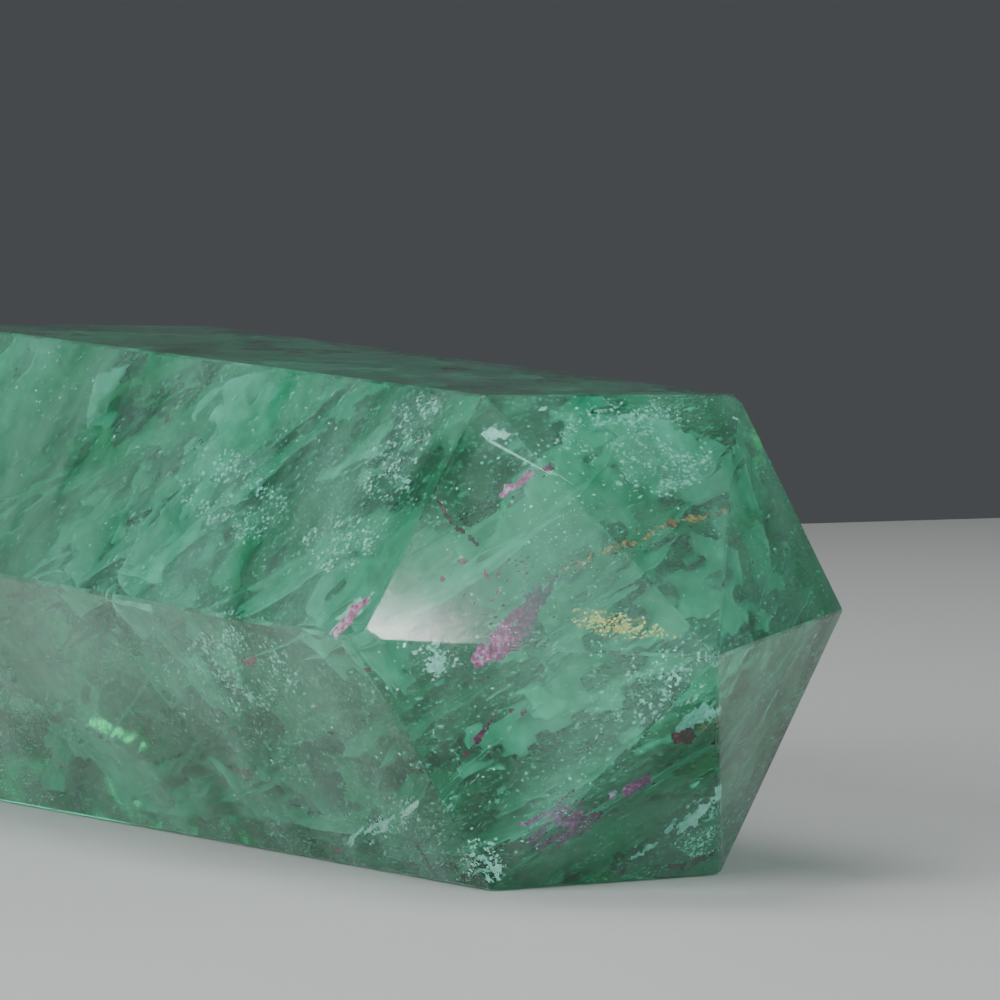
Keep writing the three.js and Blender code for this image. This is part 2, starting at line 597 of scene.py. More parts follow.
@dataclass
class LacyFilms:
    """Thin ragged films just under the polished faces, each where the photograph shows it."""

    name: str
    patches: tuple[Patch, ...]
    finish: InclusionFinish
    cell_px: float = 2.4
    margin_px: float = 6.0
    lace_px: tuple[float, float] = (17.0, 5.0)
    edge_waves: float = 1.6
    fine_waves: tuple[float, float] = (3.0, 2.6)
    fine_share: float = 0.5
    noise_shifts: tuple[float, float, float] = (20.0, 50.0, 90.0)
    relief_px: float = 16.0
    rim_px: float = 4.0
    rim_hold: float = 0.8
    thickness_mm: float = 0.07
    relief_mm: float = 0.25
    stretch_limit_mm: float = 0.3
    seed: int = 1
    shift_steps: tuple[float, float] = (31.7, 7.3)

    def build(self, gauge: SightGauge) -> bpy.types.Object:
        """Builds the films as one closed mesh.

        Args:
            gauge: The sight line gauge.

        Returns:
            The finished piece.
        """
        work = self.sheet(gauge)
        soften(work)
        bmesh.ops.recalc_face_normals(work, faces=work.faces)
        bmesh.ops.solidify(work, geom=work.faces[:], thickness=self.thickness_mm * MM)
        bmesh.ops.recalc_face_normals(work, faces=work.faces)
        return finished_piece(self.name, work, self.finish)

    def sheet(self, gauge: SightGauge) -> bmesh.types.BMesh:
        """Lays all the films as open sheets. A shift makes the ragged edge of each its own.

        Args:
            gauge: The sight line gauge.

        Returns:
            The sheets as one mesh under work.
        """
        work = bmesh.new()
        tone = work.verts.layers.float.new(TONE)
        for number, patch in enumerate(self.patches):
            shift = self.seed * self.shift_steps[0] + number * self.shift_steps[1]
            self.lay(work, tone, patch, gauge, shift)
        return work

    def covers(self, patch: Patch, x: float, y: float, shift: float) -> bool:
        """Tells whether a film covers a pixel: it is within its ragged edge and in none of its holes.

        Args:
            patch: The marking.
            x: Column.
            y: Row.
            shift: The offset of this film's noise.

        Returns:
            True where the film is.
        """
        slope = math.radians(patch.grain_deg)
        _, coarse_shift, fine_shift = self.noise_shifts
        u = (x * math.cos(slope) - y * math.sin(slope)) / self.lace_px[0]
        v = (x * math.sin(slope) + y * math.cos(slope)) / self.lace_px[1]
        ragged = noise.noise(Vector((u * self.edge_waves, v, shift)))
        edge = patch.inside(x, y) + patch.ragged_px * ragged
        if edge <= 0:
            return False
        coarse = noise.noise(Vector((u, v, shift + coarse_shift)))
        fine = noise.noise(Vector((u * self.fine_waves[0], v * self.fine_waves[1], shift + fine_shift)))
        rim = self.rim_hold * math.exp(-edge / self.rim_px) * (patch.holes > 0)
        return coarse + self.fine_share * fine > patch.holes - 1.0 + rim

    def lay(self, work: bmesh.types.BMesh, tone: bmesh.types.BMLayerItem, patch: Patch,
            gauge: SightGauge, shift: float) -> None:
        """Lays one film into the mesh, cell by cell.

        Args:
            work: The mesh that it goes into.
            tone: The layer that carries the tone.
            patch: The marking.
            gauge: The sight line gauge.
            shift: The offset of this film's noise.
        """
        x0, x1, y0, y1 = patch.box()
        step = self.cell_px
        wave_shift = shift + self.noise_shifts[0]
        left, top = x0 - self.margin_px, y0 - self.margin_px
        columns = int((x1 - x0 + 2 * self.margin_px) / step) + 1
        rows = int((y1 - y0 + 2 * self.margin_px) / step) + 1
        corners: dict[tuple[int, int], bmesh.types.BMVert] = {}
        for i, j in ((i, j) for i in range(columns) for j in range(rows)):
            if not self.covers(patch, left + (i + 0.5) * step, top + (j + 0.5) * step, shift):
                continue
            cell = []
            for a, b in ((i, j), (i + 1, j), (i + 1, j + 1), (i, j + 1)):
                if (a, b) not in corners:
                    x, y = left + a * step, top + b * step
                    along = (x - x0) / max(1.0, x1 - x0)
                    waves = noise.noise(Vector((x / self.relief_px, y / self.relief_px, wave_shift)))
                    depth = patch.depth_mm + patch.dip_mm * along + self.relief_mm * waves
                    vert = work.verts.new(gauge.point((x, y), depth))
                    vert[tone] = patch.tone[0] + (patch.tone[1] - patch.tone[0]) * along
                    corners[a, b] = vert
                cell.append(corners[a, b])
            # A cell that straddles an edge of the stone is torn wide there, and is left out.
            if max((vert.co - cell[0].co).length for vert in cell) < step * self.stretch_limit_mm * MM:
                work.faces.new(cell)
        loose = [vert for vert in corners.values() if not vert.link_faces]
        bmesh.ops.delete(work, geom=loose, context="VERTS")


def finished_piece(name: str, work: bmesh.types.BMesh, finish: InclusionFinish) -> bpy.types.Object:
    """Turns closed films into a piece of the stone.

    Args:
        name: The piece's name.
        work: The films, which are used up.
        finish: What they are made of.

    Returns:
        The finished piece.
    """
    mesh = bpy.data.meshes.new(name)
    work.to_mesh(mesh)
    work.free()
    mesh.materials.append(finish.material())
    return inclusion(name, mesh)


PURPLE_BANDS = LacyFilms("purple_bands", (
    # The broad band that rises to the right, and its dark upper end
    streak((472, 664, 12), (488, 655, 24), (505, 640, 30), (520, 622, 27), (534, 604, 22), (545, 588, 12),
           depth_mm=1.3, dip_mm=1.0, tone=(0.25, 0.95), holes=0.3),
    streak((538, 604, 12), (548, 590, 10), (558, 573, 4), depth_mm=2.2, tone=(0.8, 1.0), holes=0.2),
    # The band near the top
    streak((499, 497, 5), (512, 485, 10), (530, 474, 9), (553, 465, 4), depth_mm=1.2, tone=(0.1, 0.7),
           holes=0.25),
    # Three bands low in the point
    streak((520, 824, 5), (545, 816, 12), (566, 810, 11), (582, 801, 5), depth_mm=4.0, tone=(0.5, 0.6),
           holes=0.3),
    streak((536, 850, 5), (560, 838, 14), (582, 825, 15), (602, 813, 8), depth_mm=3.4, tone=(0.75, 0.7),
           holes=0.3),
    streak((610, 797, 6), (630, 790, 16), (648, 777, 12), depth_mm=3.0, tone=(0.1, 0.7), holes=0.25),
    # The thin dark line on the lower near facet
    streak((458, 763, 3), (470, 748, 6), (481, 735, 7), (495, 716, 5), depth_mm=1.0, tone=(0.8, 1.0),
           holes=0.3),
    streak((495, 712, 5), (508, 710, 5), (527, 713, 7), depth_mm=1.0, tone=(0.8, 1.0), holes=0.3),
    # Flecks above the broad band
    streak((484, 570, 3), (490, 585, 6), (488, 598, 3), depth_mm=1.0, tone=(0.7, 0.8), holes=0.3),
    streak((500, 568, 3), (495, 582, 6), (497, 592, 3), depth_mm=1.0, tone=(0.7, 0.8), holes=0.3),
    ring(462, 560, 9, 7, depth_mm=0.8, tone=(0.8, 0.9), ragged_px=2.0),
    ring(442, 579, 7, 5, depth_mm=0.8, tone=(0.7, 0.8), ragged_px=2.0),
    # The band on the near long edge
    streak((333, 636, 8), (345, 622, 12), (358, 608, 12), (369, 598, 6), depth_mm=0.7, tone=(0.0, 0.5),
           holes=0.25),
), PURPLE_FLUORITE, seed=3)

MILK_CRUSTS = LacyFilms("milky_crusts", (
    ring(437, 660, 52, 30, 8, depth_mm=0.9, tone=(0.3, 0.6), holes=0.85),
    ring(495, 434, 32, 14, -6, depth_mm=0.9, tone=(0.7, 0.8), holes=0.25),
    ring(540, 409, 16, 8, 0, depth_mm=0.8, tone=(0.8, 0.9), holes=0.2),
    ring(620, 420, 60, 18, 10, depth_mm=2.0, tone=(0.2, 0.5), holes=0.9),
    # Bright lines low at the right, along the grain
    streak((660, 850, 4), (680, 832, 10), (700, 812, 10), (722, 788, 5), depth_mm=1.2, tone=(0.6, 0.9),
           holes=0.35),
    streak((628, 862, 4), (652, 846, 7), (676, 826, 8), (705, 806, 4), depth_mm=2.2, tone=(0.5, 0.8),
           holes=0.35),
    # The crust on the lower near long face
    streak((344, 845, 12), (365, 832, 16), (388, 820, 14), (420, 805, 10), depth_mm=0.9,
           tone=(0.4, 0.8), holes=0.75),
    # The pale vein that carries rust
    streak((672, 740, 8), (696, 720, 22), (716, 706, 24), depth_mm=1.8, tone=(0.2, 0.5), holes=0.35),
    streak((728, 700, 24), (748, 686, 22), (768, 668, 12), depth_mm=1.4, tone=(0.2, 0.5), holes=0.35),
    # The rim of the purple band on the near long edge
    streak((326, 641, 6), (342, 621, 16), (358, 605, 16), (374, 592, 5), depth_mm=0.95,
           tone=(0.2, 0.5), holes=0.6, ragged_px=2.5),
    # The crust at the lowest corner
    Patch(((460, 834), (480, 843), (508, 865), (500, 886), (487, 886), (474, 862)), depth_mm=0.35,
          tone=(0.0, 0.4), holes=0.95, grain_deg=-50.0),
), MILK_FLUORITE, seed=5)

RUST_VEIN = LacyFilms("rust_vein", (
    # The long vein that rises to the right, and a knot in it
    streak((560, 571, 6), (585, 562, 12), (612, 550, 11), (640, 540, 7), depth_mm=1.6, tone=(0.2, 0.7),
           holes=0.62),
    streak((640, 540, 6), (668, 524, 7), (705, 516, 8), (740, 505, 4), depth_mm=1.6, tone=(0.3, 0.8),
           holes=0.65),
    ring(673, 524, 11, 10, 0, depth_mm=1.0, tone=(0.7, 0.9), ragged_px=2.5),
    # The edge of the pale vein
    streak((676, 744, 4), (704, 728, 5), (735, 705, 5), (768, 668, 7), depth_mm=1.2, tone=(0.2, 0.5),
           holes=0.42),
    ring(775, 690, 20, 26, 20, depth_mm=0.9, tone=(0.1, 0.4), holes=0.3),
), RUST_STAIN, seed=7)

DARK_CRUMBS = LacyFilms("dark_crumbs", (
    # Two crumbs beside the pale vein
    ring(685, 737, 26, 16, 5, depth_mm=0.7, tone=(0.4, 1.0), ragged_px=4.0),
    ring(714, 741, 16, 7, 20, depth_mm=1.0, tone=(0.3, 0.8), holes=0.45),
    # The dark line at the upper left of the point
    streak((437, 498, 4), (445, 512, 5), (455, 527, 5), (468, 535, 6), (480, 547, 5), depth_mm=0.6,
           tone=(0.5, 1.0), holes=0.1, ragged_px=2.0),
    # Crumbs along the bottom edge
    streak((662, 868, 4), (684, 866, 8), (705, 858, 9), (718, 850, 4), depth_mm=0.6, tone=(0.6, 1.0),
           holes=0.42),
    ring(623, 872, 9, 6, 30, depth_mm=0.6, tone=(0.8, 1.0), ragged_px=2.0),
    streak((417, 845, 2.5), (424, 858, 3.5), (431, 869, 3.5), (438, 878, 2.5), depth_mm=0.6,
           tone=(0.6, 1.0), ragged_px=1.5),
    # Faint spots along the body
    ring(368, 670, 7, 7, 0, depth_mm=0.6, tone=(0.3, 0.6), ragged_px=2.0),
    ring(250, 660, 18, 12, 20, depth_mm=1.2, tone=(0.0, 0.3), holes=0.5),
    ring(245, 775, 12, 20, 20, depth_mm=1.2, tone=(0.0, 0.3), holes=0.5),
    ring(340, 848, 12, 10, 20, depth_mm=0.9, tone=(0.1, 0.4), holes=0.45),
), DARK_MINERAL, seed=9)

# A painted gold reflection: films along the cleavage crack, coloured as the warm light that it mirrors
PAINTED_GOLD_REFLECTION_FILM = LacyFilms("painted_gold_reflection_film", (
    streak((588, 618, 5), (606, 622, 13), (630, 628, 12), (664, 634, 3), depth_mm=0.6, tone=(0.6, 1.0),
           holes=0.6),
), PAINTED_GOLD_REFLECTION_FINISH, cell_px=1.5, seed=11)

MARKINGS = (PURPLE_BANDS, MILK_CRUSTS, RUST_VEIN, DARK_CRUMBS, PAINTED_GOLD_REFLECTION_FILM)


@dataclass(frozen=True)
class GrainNoise:
    """A noise in two sizes, both drawn out along the grain of the crystal."""

    coarse_mm: tuple[float, float]
    fine_mm: tuple[float, float]
    fine_share: float
    fine_shift: float

    def at(self, u: float, v: float, shift: float) -> float:
        """Gives the noise at a place on a plane.

        Args:
            u: Millimetres along the grain.
            v: Millimetres across it.
            shift: An offset that makes the plane's noise its own.

        Returns:
            A value about zero.
        """
        coarse = noise.noise(Vector((u / self.coarse_mm[0], v / self.coarse_mm[1], shift)))
        fine = noise.noise(Vector((u / self.fine_mm[0], v / self.fine_mm[1], shift + self.fine_shift)))
        return coarse + self.fine_share * fine


@dataclass(frozen=True)
class HealedPlane:
    """A gently wavy plane through the stone, along which it once cracked and healed."""

    cleavage: Cleavage = Cleavage.FLAT
    turn_deg: float = 14.0
    relief_mm: float = 1.6
    reach_mm: float = 34.0
    cells: int = 40
    along_mm: tuple[float, float] = (-46.0, 50.0)
    across_mm: tuple[float, float] = (-16.0, 16.0)
    height_mm: tuple[float, float] = (4.0, 34.0)
    inset_mm: float = 0.5
    eaten: GrainNoise = GrainNoise((13.0, 7.0), (3.2, 1.8), 0.6, 9.0)
    waves: GrainNoise = GrainNoise((22.0, 14.0), (12.0, 2.5), 0.3, 3.0)

    def grow(self, chance: random.Random, gauge: SightGauge,
             open_share: float = 0.0) -> bmesh.types.BMesh:
        """Grows one such plane and cuts it off inside the stone's faces.

        Args:
            chance: The random numbers of the piece that it belongs to.
            gauge: The sight line gauge, which gives the stone's faces.
            open_share: How far it is eaten away; nothing at zero.

        Returns:
            The plane as an open sheet.
        """
        part = bmesh.new()
        bmesh.ops.create_grid(part, x_segments=self.cells, y_segments=self.cells,
                              size=self.reach_mm * MM)
        shift = chance.uniform(0, 100)
        if open_share > 0:
            gone = [face for face in part.faces
                    if self.eaten.at(*(face.calc_center_median().xy / MM), shift) < open_share - 1.0]
            bmesh.ops.delete(part, geom=gone, context="FACES")
        for vert in part.verts:
            vert.co.z += self.relief_mm * MM * self.waves.at(*(vert.co.xy / MM), shift)
        bmesh.ops.transform(part, matrix=self.place(chance), verts=part.verts)
        for centre, normal in gauge.faces:
            bmesh.ops.bisect_plane(part, geom=part.verts[:] + part.edges[:] + part.faces[:],
                                   plane_co=centre - normal * self.inset_mm * MM, plane_no=normal,
                                   clear_outer=True)
        return part

    def place(self, chance: random.Random) -> Matrix:
        """Draws where the plane lies, and how far it leans away from its cleavage.

        Args:
            chance: The random numbers of the piece that it belongs to.

        Returns:
            The matrix that takes the plane to its place.
        """
        swing = Vector([chance.uniform(-1, 1) for _ in range(3)]) * math.radians(self.turn_deg)
        lean = (self.cleavage.normal.normalized() + swing).normalized()
        way = self.cleavage.grain
        way = (way - lean * way.dot(lean)).normalized()
        turn = Matrix((way, lean.cross(way), lean)).transposed().to_4x4()
        spot = Vector([chance.uniform(*span) for span in (self.along_mm, self.across_mm, self.height_mm)])
        return Matrix.Translation(spot * MM) @ turn


@dataclass
class MilkPlanes:
    """Wide milky films deep in the stone, eaten into feathers along the grain of the crystal."""

    name: str
    planes: int
    seed: int
    cleavage: Cleavage
    finish: InclusionFinish = FILM_FLUORITE
    cells: int = 120
    inset_mm: float = 3.5
    open_share: float = 1.12
    thickness_mm: float = 0.06
    tone_middle: float = 0.5
    tone_swing: float = 0.6
    tone_waves_per_m: float = 60.0

    def build(self, gauge: SightGauge) -> bpy.types.Object:
        """Builds all films of this kind as one closed piece.

        Args:
            gauge: The sight line gauge, which gives the stone's faces.

        Returns:
            The finished piece.
        """
        work = bmesh.new()
        tone = work.verts.layers.float.new(TONE)
        chance = random.Random(self.seed)
        plane = HealedPlane(self.cleavage, cells=self.cells, inset_mm=self.inset_mm)
        for _ in range(self.planes):
            part = plane.grow(chance, gauge, self.open_share)
            soften(part)
            bmesh.ops.solidify(part, geom=part.faces[:], thickness=self.thickness_mm * MM)
            merge_in(work, part)
        bmesh.ops.recalc_face_normals(work, faces=work.faces)
        for vert in work.verts:
            vert[tone] = self.tone_middle + self.tone_swing * noise.noise(vert.co * self.tone_waves_per_m)
        for face in work.faces:
            face.smooth = True
        return finished_piece(self.name, work, self.finish)


MILKS = (
    MilkPlanes("deep_milk_films", planes=11, seed=41, cleavage=Cleavage.FLAT),
    MilkPlanes("steep_milk_films", planes=8, seed=43, cleavage=Cleavage.STEEP),
)


class CrumbTree:
    """A Geometry Nodes tree that strews small flat crumbs over a sheet, in clumps, as plain mesh."""

    FLOATS = ("Crumbs Per Square Metre", "Crumb Size", "Stretch", "Flatness", "Clump Scale", "Clump Start",
              "Tilt", "Off Sheet", "Tone Low", "Tone High")
    OTHERS = (("Grain Way", "NodeSocketVector"), ("Seed", "NodeSocketInt"),
              ("Finish", "NodeSocketMaterial"))
    CLUMP_EDGE = 0.12
    # Most crumbs are near the least size, and a few are far larger.
    LEAST_SIZE = 0.5
    SIZE_SPREAD = 1.5
    SIZE_POWER = 4.0
    CRUMB_SIDES = 4
    CRUMB_RINGS = 2
    CRUMB_POINTS = 6

    def __init__(self) -> None:
        """Builds the tree."""
        self.tree = bpy.data.node_groups.new("inclusion_crumbs", "GeometryNodeTree")
        face = self.tree.interface
        kinds = [("Sheet", "NodeSocketGeometry")]
        kinds += [(name, "NodeSocketFloat") for name in self.FLOATS]
        kinds += self.OTHERS
        self.sockets = {name: face.new_socket(name, in_out="INPUT", socket_type=kind)
                        for name, kind in kinds}
        face.new_socket("Crumbs", in_out="OUTPUT", socket_type="NodeSocketGeometry")
        self.wire()

    def wire(self) -> None:
        """Adds the nodes that strew the crumbs, turn them to plain mesh and dress them."""
        tree = self.tree
        given = add_node(tree, "NodeGroupInput").outputs
        spots = self.spots(given)
        crumb = add_node(tree, "GeometryNodeMeshUVSphere", {
            "Segments": self.CRUMB_SIDES, "Rings": self.CRUMB_RINGS, "Radius": 0.5})
        strewn = add_node(tree, "GeometryNodeInstanceOnPoints", {
            "Points": self.lifted(given, spots), "Instance": crumb.outputs["Mesh"],
            "Rotation": self.turned(given, spots), "Scale": self.sized(given)})
        shade = add_node(tree, "FunctionNodeRandomValue", {
            2: given["Tone Low"], 3: given["Tone High"], "Seed": given["Seed"]}, data_type="FLOAT")
        toned = add_node(tree, "GeometryNodeStoreNamedAttribute", {
            "Geometry": strewn.outputs[0], "Name": TONE, "Value": shade.outputs[1]},
            data_type="FLOAT", domain="INSTANCE")
        real = add_node(tree, "GeometryNodeRealizeInstances", {"Geometry": toned.outputs[0]})
        dressed = add_node(tree, "GeometryNodeSetMaterial", {
            "Geometry": real.outputs[0], "Material": given["Finish"]})
        add_node(tree, "NodeGroupOutput", {"Crumbs": dressed.outputs[0]})

    def spots(self, given: bpy.types.NodeOutputs) -> bpy.types.NodeOutputs:
        """Adds the nodes that pick where crumbs lie, dense in clumps and bare between them.

        Args:
            given: The tree's inputs.

        Returns:
            The points, and the way that the sheet looks at each.
        """
        tree = self.tree
        place = add_node(tree, "GeometryNodeInputPosition").outputs["Position"]
        clumps = add_node(tree, "ShaderNodeTexNoise", {
            "Vector": place, "W": given["Seed"], "Scale": given["Clump Scale"], "Detail": 3.0,
            "Roughness": NOISE_ROUGHNESS}, noise_dimensions="4D")
        end = add_node(tree, "ShaderNodeMath", {0: given["Clump Start"], 1: self.CLUMP_EDGE},
                       operation="ADD")
        share = add_node(tree, "ShaderNodeMapRange", {
            "Value": clumps.outputs["Fac"], "From Min": given["Clump Start"],
            "From Max": end.outputs[0]}, interpolation_type="SMOOTHSTEP")
        density = add_node(tree, "ShaderNodeMath", {
            0: share.outputs["Result"], 1: given["Crumbs Per Square Metre"]}, operation="MULTIPLY")
        return add_node(tree, "GeometryNodeDistributePointsOnFaces", {
            "Mesh": given["Sheet"], "Density": density.outputs[0], "Seed": given["Seed"]}).outputs

    def lifted(self, given: bpy.types.NodeOutputs, spots: bpy.types.NodeOutputs) -> bpy.types.NodeSocket:
        """Adds the nodes that move each crumb a little off the sheet, to either side.

        Args:
            given: The tree's inputs.
            spots: The points and the way that the sheet looks at each.

        Returns:
            The moved points.
        """
        tree = self.tree
        lift = add_node(tree, "FunctionNodeRandomValue", {2: -1.0, 3: 1.0, "Seed": given["Seed"]},
                        data_type="FLOAT")
        height = add_node(tree, "ShaderNodeMath", {0: lift.outputs[1], 1: given["Off Sheet"]},
                          operation="MULTIPLY")
        offset = add_node(tree, "ShaderNodeVectorMath", {
            0: spots["Normal"], "Scale": height.outputs[0]}, operation="SCALE")
        return add_node(tree, "GeometryNodeSetPosition", {
            "Geometry": spots["Points"], "Offset": offset.outputs["Vector"]}).outputs[0]

    def turned(self, given: bpy.types.NodeOutputs, spots: bpy.types.NodeOutputs) -> bpy.types.NodeSocket:
        """Adds the nodes that lay each crumb flat on the sheet, along its grain, and tilt it a little.

        Args:
            given: The tree's inputs.
            spots: The points and the way that the sheet looks at each.

        Returns:
            The rotation of each crumb.
        """
        tree = self.tree
        flat = add_node(tree, "FunctionNodeAlignRotationToVector", {"Vector": spots["Normal"]}, axis="Z")
        along = add_node(tree, "FunctionNodeAlignRotationToVector", {
            "Rotation": flat.outputs[0], "Vector": given["Grain Way"]}, axis="X", pivot_axis="Z")
        least = add_node(tree, "ShaderNodeMath", {0: given["Tilt"], 1: -1.0}, operation="MULTIPLY")
        low, high = (add_node(tree, "ShaderNodeCombineXYZ", {"X": tilt, "Y": tilt, "Z": tilt})
                     for tilt in (least.outputs[0], given["Tilt"]))
        wobble = add_node(tree, "FunctionNodeRandomValue", {
            0: low.outputs[0], 1: high.outputs[0], "Seed": given["Seed"]}, data_type="FLOAT_VECTOR")
        turn = add_node(tree, "FunctionNodeEulerToRotation", {"Euler": wobble.outputs[0]})
        return add_node(tree, "FunctionNodeRotateRotation", {
            "Rotation": along.outputs[0], "Rotate By": turn.outputs[0]}, rotation_space="LOCAL").outputs[0]

    def sized(self, given: bpy.types.NodeOutputs) -> bpy.types.NodeSocket:
        """Adds the nodes that give each crumb its size.

        Args:
            given: The tree's inputs.

        Returns:
            The length, width and thickness of each crumb.
        """
        tree = self.tree
        chance = add_node(tree, "FunctionNodeRandomValue", {2: 0.0, 3: 1.0, "Seed": given["Seed"]},
                          data_type="FLOAT")
        rare = add_node(tree, "ShaderNodeMath", {0: chance.outputs[1], 1: self.SIZE_POWER},
                        operation="POWER")
        grown = add_node(tree, "ShaderNodeMath", {
            0: rare.outputs[0], 1: self.SIZE_SPREAD, 2: self.LEAST_SIZE}, operation="MULTIPLY_ADD")
        size = add_node(tree, "ShaderNodeMath", {0: grown.outputs[0], 1: given["Crumb Size"]},
                        operation="MULTIPLY").outputs[0]
        long, thin = (add_node(tree, "ShaderNodeMath", {0: size, 1: given[name]}, operation="MULTIPLY")
                      for name in ("Stretch", "Flatness"))
        return add_node(tree, "ShaderNodeCombineXYZ", {
            "X": long.outputs[0], "Y": size, "Z": thin.outputs[0]}).outputs[0]

    def strew(self, sheet: bpy.types.Mesh, values: dict[str, object]) -> bpy.types.Mesh:
        """Strews crumbs over a sheet.

        Args:
            sheet: The sheet's mesh, which is used up.
            values: The tree's inputs by name.

        Returns:
            The crumbs as one plain mesh.
        """
        carrier = put_in_scene("sheet", sheet)
        modifier = carrier.modifiers.new("crumbs", "NODES")
        modifier.node_group = self.tree
        for name, value in values.items():
            modifier[self.sockets[name].identifier] = value
        graph = bpy.context.evaluated_depsgraph_get()
        crumbs = bpy.data.meshes.new_from_object(carrier.evaluated_get(graph))
        carrier.modifiers.clear()
        bpy.data.objects.remove(carrier)
        return crumbs

    def keep_inside(self, crumbs: bpy.types.Mesh, gauge: SightGauge, skin_mm: float) -> None:
        """Takes away every crumb that comes nearer to the stone's faces than its skin.

        Args:
            crumbs: The crumbs, each with the same number of points.
            gauge: The sight line gauge, which gives the stone's faces.
            skin_mm: The clear skin under the faces, in millimetres.
        """
        places = np.empty(len(crumbs.vertices) * 3, dtype=np.float32)
        crumbs.vertices.foreach_get("co", places)
        places = places.reshape(-1, 3)
        depth = np.full(len(places), np.inf)
        for centre, normal in gauge.faces:
            depth = np.minimum(depth, -(places - np.array(centre)) @ np.array(normal))
        near = (depth.reshape(-1, self.CRUMB_POINTS) < skin_mm * MM).any(axis=1)
        work = bmesh.new()
        work.from_mesh(crumbs)
        gone = [vert for vert, out in zip(work.verts, near.repeat(self.CRUMB_POINTS)) if out]
        bmesh.ops.delete(work, geom=gone, context="VERTS")
        work.to_mesh(crumbs)
        work.free()


@dataclass
class Crumbs:
    """Many small mineral crumbs, healed pores or grains that share one finish."""

    name: str
    finish: InclusionFinish
    per_mm2: float
    size_mm: float
    seed: int
    stretch: float = 1.6
    flatness: float = 0.35
    clump_mm: float = 4.0
    clump_start: float = 0.5
    tilt: float = 0.5
    off_sheet_mm: float = 0.25
    skin_mm: float = 0.12
    tone: tuple[float, float] = (0.3, 0.8)
    patches: tuple[Patch, ...] = ()
    patch_cell_px: float = 5.0
    patch_shift_steps: tuple[float, float] = (11.3, 5.9)
    planes: int = 0
    plane: HealedPlane = HealedPlane()

    def build(self, gauge: SightGauge, tree: CrumbTree) -> bpy.types.Object:
        """Builds all crumbs of this kind as one piece.

        Args:
            gauge: The sight line gauge, which also gives the stone's faces.
            tree: The tree that strews crumbs.

        Returns:
            The finished piece.
        """
        work = LacyFilms(self.name, self.patches, self.finish, self.patch_cell_px,
                         relief_mm=self.off_sheet_mm, seed=self.seed,
                         shift_steps=self.patch_shift_steps).sheet(gauge)
        chance = random.Random(self.seed)
        for _ in range(self.planes):
            merge_in(work, self.plane.grow(chance, gauge))
        sheet = bpy.data.meshes.new("sheet")
        work.to_mesh(sheet)
        work.free()
        mesh = tree.strew(sheet, {
            "Crumbs Per Square Metre": self.per_mm2 / MM ** 2, "Crumb Size": self.size_mm * MM,
            "Stretch": self.stretch, "Flatness": self.flatness,
            "Clump Scale": 1.0 / (self.clump_mm * MM), "Clump Start": self.clump_start,
            "Tilt": self.tilt, "Off Sheet": self.off_sheet_mm * MM,
            "Tone Low": self.tone[0], "Tone High": self.tone[1],
            "Grain Way": tuple(self.plane.cleavage.grain), "Seed": self.seed,
            "Finish": self.finish.material()})
        tree.keep_inside(mesh, gauge, self.skin_mm)
        mesh.name = self.name
        return inclusion(self.name, mesh)


STEEP_PLANE = HealedPlane(Cleavage.STEEP)

FEATHERS = Crumbs("feather_streaks", FILM_FLUORITE, 2.4, 0.17, seed=35, stretch=3.0, flatness=0.4,
                  clump_mm=6.0, clump_start=0.48, off_sheet_mm=0.9, tone=(0.2, 0.9), planes=9)
STEEP_FEATHERS = Crumbs("steep_feather_streaks", FILM_FLUORITE, 2.4, 0.16, seed=37, stretch=2.6,
                        flatness=0.4, clump_mm=5.0, clump_start=0.49, off_sheet_mm=0.9,
                        tone=(0.2, 0.9), planes=9, plane=STEEP_PLANE)
# Specks strewn through the stone whose near-white colour is a painted glint
PAINTED_GLINTS = Crumbs("painted_glint_specks", PAINTED_GLINT_FLUORITE, 0.8, 0.15, seed=27, stretch=1.2, clump_mm=6.0,
                  clump_start=0.42, tilt=1.5, off_sheet_mm=1.2, tone=(0.6, 1.0), planes=16)
WHITE_CRUMBS = Crumbs("white_crumb_clusters", MILK_FLUORITE, 26, 0.21, seed=21, stretch=1.3,
                      clump_mm=1.6, clump_start=0.46, tilt=0.9, off_sheet_mm=0.35, tone=(0.5, 1.0),
                      patches=(
    # Down the near long faces, from the upper near corner
    ring(418, 420, 60, 60, 30, depth_mm=0.6, dip_mm=0.3),
    ring(385, 470, 60, 60, 30, depth_mm=0.6, dip_mm=0.4),
    ring(340, 540, 80, 60, 35, depth_mm=0.7, dip_mm=0.5),
    # In the upper part of the point
    ring(620, 430, 130, 60, 10, depth_mm=1.6, dip_mm=1.2),
    ring(665, 465, 100, 60, 20, depth_mm=1.4, dip_mm=1.2),
    # Round the near corner and along the lower edges
    ring(437, 660, 60, 36, 8, depth_mm=0.8),
    ring(395, 815, 60, 26, 30, depth_mm=0.8),
    ring(480, 862, 50, 44, -40, depth_mm=0.6),
    # Beside the pale vein and below it
    ring(660, 690, 160, 60, 20, depth_mm=2.0),
    ring(700, 830, 60, 60, 30, depth_mm=1.5),
    # Along the body
    ring(230, 490, 90, 120, 50, depth_mm=2.2, dip_mm=1.0),
    ring(240, 670, 120, 80, -20, depth_mm=1.8, dip_mm=1.0),
))
